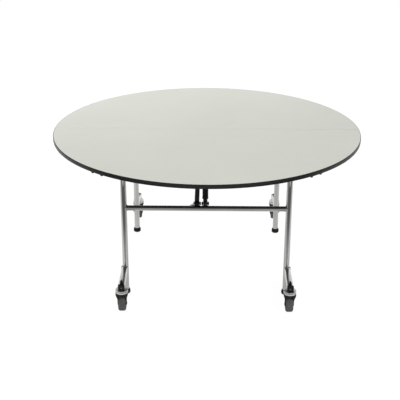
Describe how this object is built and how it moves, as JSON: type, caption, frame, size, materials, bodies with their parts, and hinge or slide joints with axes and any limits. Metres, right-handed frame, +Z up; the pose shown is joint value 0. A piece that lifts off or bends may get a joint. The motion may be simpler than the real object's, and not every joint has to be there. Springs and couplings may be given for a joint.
{
  "type": "round folding table",
  "caption": "Round table whose top folds at a centre seam; chromed leg frames on castors swing together on links and gas springs for rolling away.",
  "frame": {"origin": "on the floor under the middle of the top", "axes": "+Z up; X along the centre seam; -Y towards the viewer of the picture"},
  "size_m": [1.5232, 1.5232, 0.731],
  "materials": {
    "board": "particle board, painted dark below",
    "laminate": "pale warm grey laminate, satin",
    "edging": "black plastic edging, satin",
    "chrome": "bright chrome plate",
    "black_steel": "black enamel, satin",
    "rubber": "black moulded rubber",
    "plastic": "black moulded plastic",
    "tyre": "dark grey non-marking rubber"
  },
  "bodies": {
    "front_frame": {"front_left_leg": "chrome", "front_right_leg": "chrome", "front_crossbar": "chrome", "front_left_castor_arm": "chrome", "front_left_arm_cap": "plastic", "front_left_foot": "rubber", "front_left_castor_head": "chrome", "front_right_castor_arm": "chrome", "front_right_arm_cap": "plastic", "front_right_foot": "rubber", "front_right_castor_head": "chrome"},
    "front_top": {"front_top_core": "board", "front_top_laminate": "laminate", "front_edge_band": "edging", "front_hinge_rail": "black_steel", "front_left_pivot_bracket": "black_steel", "front_left_pivot_pin": "black_steel", "front_left_rim_buffer": "rubber", "front_right_pivot_bracket": "black_steel", "front_right_pivot_pin": "black_steel", "front_right_rim_buffer": "rubber", "centre_hinge_rod": "black_steel"},
    "front_link": {"front_link": "black_steel"},
    "front_spring_rod": {"front_spring_rod": "black_steel"},
    "front_spring_cylinder": {"front_spring_cylinder": "black_steel"},
    "front_left_fork": {"front_left_castor_fork": "black_steel"},
    "front_left_wheel": {"front_left_wheel": "tyre"},
    "front_right_fork": {"front_right_castor_fork": "black_steel"},
    "front_right_wheel": {"front_right_wheel": "tyre"},
    "rear_frame": {"rear_left_leg": "chrome", "rear_right_leg": "chrome", "rear_crossbar": "chrome", "rear_left_castor_arm": "chrome", "rear_left_arm_cap": "plastic", "rear_left_foot": "rubber", "rear_left_castor_head": "chrome", "rear_right_castor_arm": "chrome", "rear_right_arm_cap": "plastic", "rear_right_foot": "rubber", "rear_right_castor_head": "chrome"},
    "rear_top": {"rear_top_core": "board", "rear_top_laminate": "laminate", "rear_edge_band": "edging", "rear_hinge_rail": "black_steel", "rear_left_pivot_bracket": "black_steel", "rear_left_pivot_pin": "black_steel", "rear_left_rim_buffer": "rubber", "rear_right_pivot_bracket": "black_steel", "rear_right_pivot_pin": "black_steel", "rear_right_rim_buffer": "rubber"},
    "rear_link": {"rear_link": "black_steel"},
    "rear_spring_rod": {"rear_spring_rod": "black_steel"},
    "rear_spring_cylinder": {"rear_spring_cylinder": "black_steel"},
    "rear_left_fork": {"rear_left_castor_fork": "black_steel"},
    "rear_left_wheel": {"rear_left_wheel": "tyre"},
    "rear_right_fork": {"rear_right_castor_fork": "black_steel"},
    "rear_right_wheel": {"rear_right_wheel": "tyre"},
    "centre_hanger": {"centre_hanger": "black_steel"}
  },
  "joints": [
    {"name": "front_leg_fold", "type": "hinge", "parent": "front_frame", "child": "front_top", "pos_m": [0, -0.365, 0.685], "axis": [1, 0, 0], "range_deg": [0, 88]},
    {"name": "centre_hinge", "type": "hinge", "parent": "front_top", "child": "rear_top", "pos_m": [0, 0, 0.655], "axis": [1, 0, 0], "range_deg": [-176, 0]},
    {"name": "rear_leg_fold", "type": "hinge", "parent": "rear_top", "child": "rear_frame", "pos_m": [0, 0.365, 0.685], "axis": [1, 0, 0], "range_deg": [0, 88]},
    {"name": "hanger_swing", "type": "hinge", "parent": "front_top", "child": "centre_hanger", "pos_m": [0, 0, 0.655], "axis": [1, 0, 0], "range_deg": [-88, 0]},
    {"name": "front_link_swing", "type": "hinge", "parent": "front_frame", "child": "front_link", "pos_m": [-0.045, -0.365, 0.479], "axis": [1, 0, 0], "range_deg": [0, 88]},
    {"name": "rear_link_swing", "type": "hinge", "parent": "rear_frame", "child": "rear_link", "pos_m": [0.045, 0.365, 0.479], "axis": [1, 0, 0], "range_deg": [-88, 0]},
    {"name": "front_rod_swing", "type": "hinge", "parent": "front_frame", "child": "front_spring_rod", "pos_m": [-0.005, -0.365, 0.479], "axis": [1, 0, 0], "range_deg": [0, 44]},
    {"name": "front_cylinder_swing", "type": "hinge", "parent": "front_top", "child": "front_spring_cylinder", "pos_m": [-0.005, -0.159, 0.685], "axis": [1, 0, 0], "range_deg": [-44, 0]},
    {"name": "rear_rod_swing", "type": "hinge", "parent": "rear_frame", "child": "rear_spring_rod", "pos_m": [0.005, 0.365, 0.479], "axis": [1, 0, 0], "range_deg": [-44, 0]},
    {"name": "rear_cylinder_swing", "type": "hinge", "parent": "rear_top", "child": "rear_spring_cylinder", "pos_m": [0.005, 0.159, 0.685], "axis": [1, 0, 0], "range_deg": [0, 44]},
    {"name": "front_left_swivel", "type": "hinge", "parent": "front_frame", "child": "front_left_fork", "pos_m": [-0.396, -0.55, 0.1015], "axis": [0, 0, 1], "continuous": true},
    {"name": "front_left_wheel_spin", "type": "hinge", "parent": "front_left_fork", "child": "front_left_wheel", "pos_m": [-0.396, -0.54, 0.038], "axis": [1, 0, 0], "continuous": true},
    {"name": "front_right_swivel", "type": "hinge", "parent": "front_frame", "child": "front_right_fork", "pos_m": [0.396, -0.55, 0.1015], "axis": [0, 0, 1], "continuous": true},
    {"name": "front_right_wheel_spin", "type": "hinge", "parent": "front_right_fork", "child": "front_right_wheel", "pos_m": [0.396, -0.54, 0.038], "axis": [1, 0, 0], "continuous": true},
    {"name": "rear_left_swivel", "type": "hinge", "parent": "rear_frame", "child": "rear_left_fork", "pos_m": [-0.396, 0.55, 0.1015], "axis": [0, 0, 1], "continuous": true},
    {"name": "rear_left_wheel_spin", "type": "hinge", "parent": "rear_left_fork", "child": "rear_left_wheel", "pos_m": [-0.396, 0.56, 0.038], "axis": [1, 0, 0], "continuous": true},
    {"name": "rear_right_swivel", "type": "hinge", "parent": "rear_frame", "child": "rear_right_fork", "pos_m": [0.396, 0.55, 0.1015], "axis": [0, 0, 1], "continuous": true},
    {"name": "rear_right_wheel_spin", "type": "hinge", "parent": "rear_right_fork", "child": "rear_right_wheel", "pos_m": [0.396, 0.56, 0.038], "axis": [1, 0, 0], "continuous": true}
  ],
  "couplings": [
    {"joint": "centre_hinge", "follows": "front_leg_fold", "ratio": -2},
    {"joint": "rear_leg_fold", "follows": "front_leg_fold", "ratio": 1},
    {"joint": "hanger_swing", "follows": "front_leg_fold", "ratio": -1},
    {"joint": "front_link_swing", "follows": "front_leg_fold", "ratio": 1},
    {"joint": "rear_link_swing", "follows": "front_leg_fold", "ratio": -1},
    {"joint": "front_rod_swing", "follows": "front_leg_fold", "ratio": 0.5},
    {"joint": "front_cylinder_swing", "follows": "front_leg_fold", "ratio": -0.5},
    {"joint": "rear_rod_swing", "follows": "front_leg_fold", "ratio": -0.5},
    {"joint": "rear_cylinder_swing", "follows": "front_leg_fold", "ratio": 0.5}
  ]
}
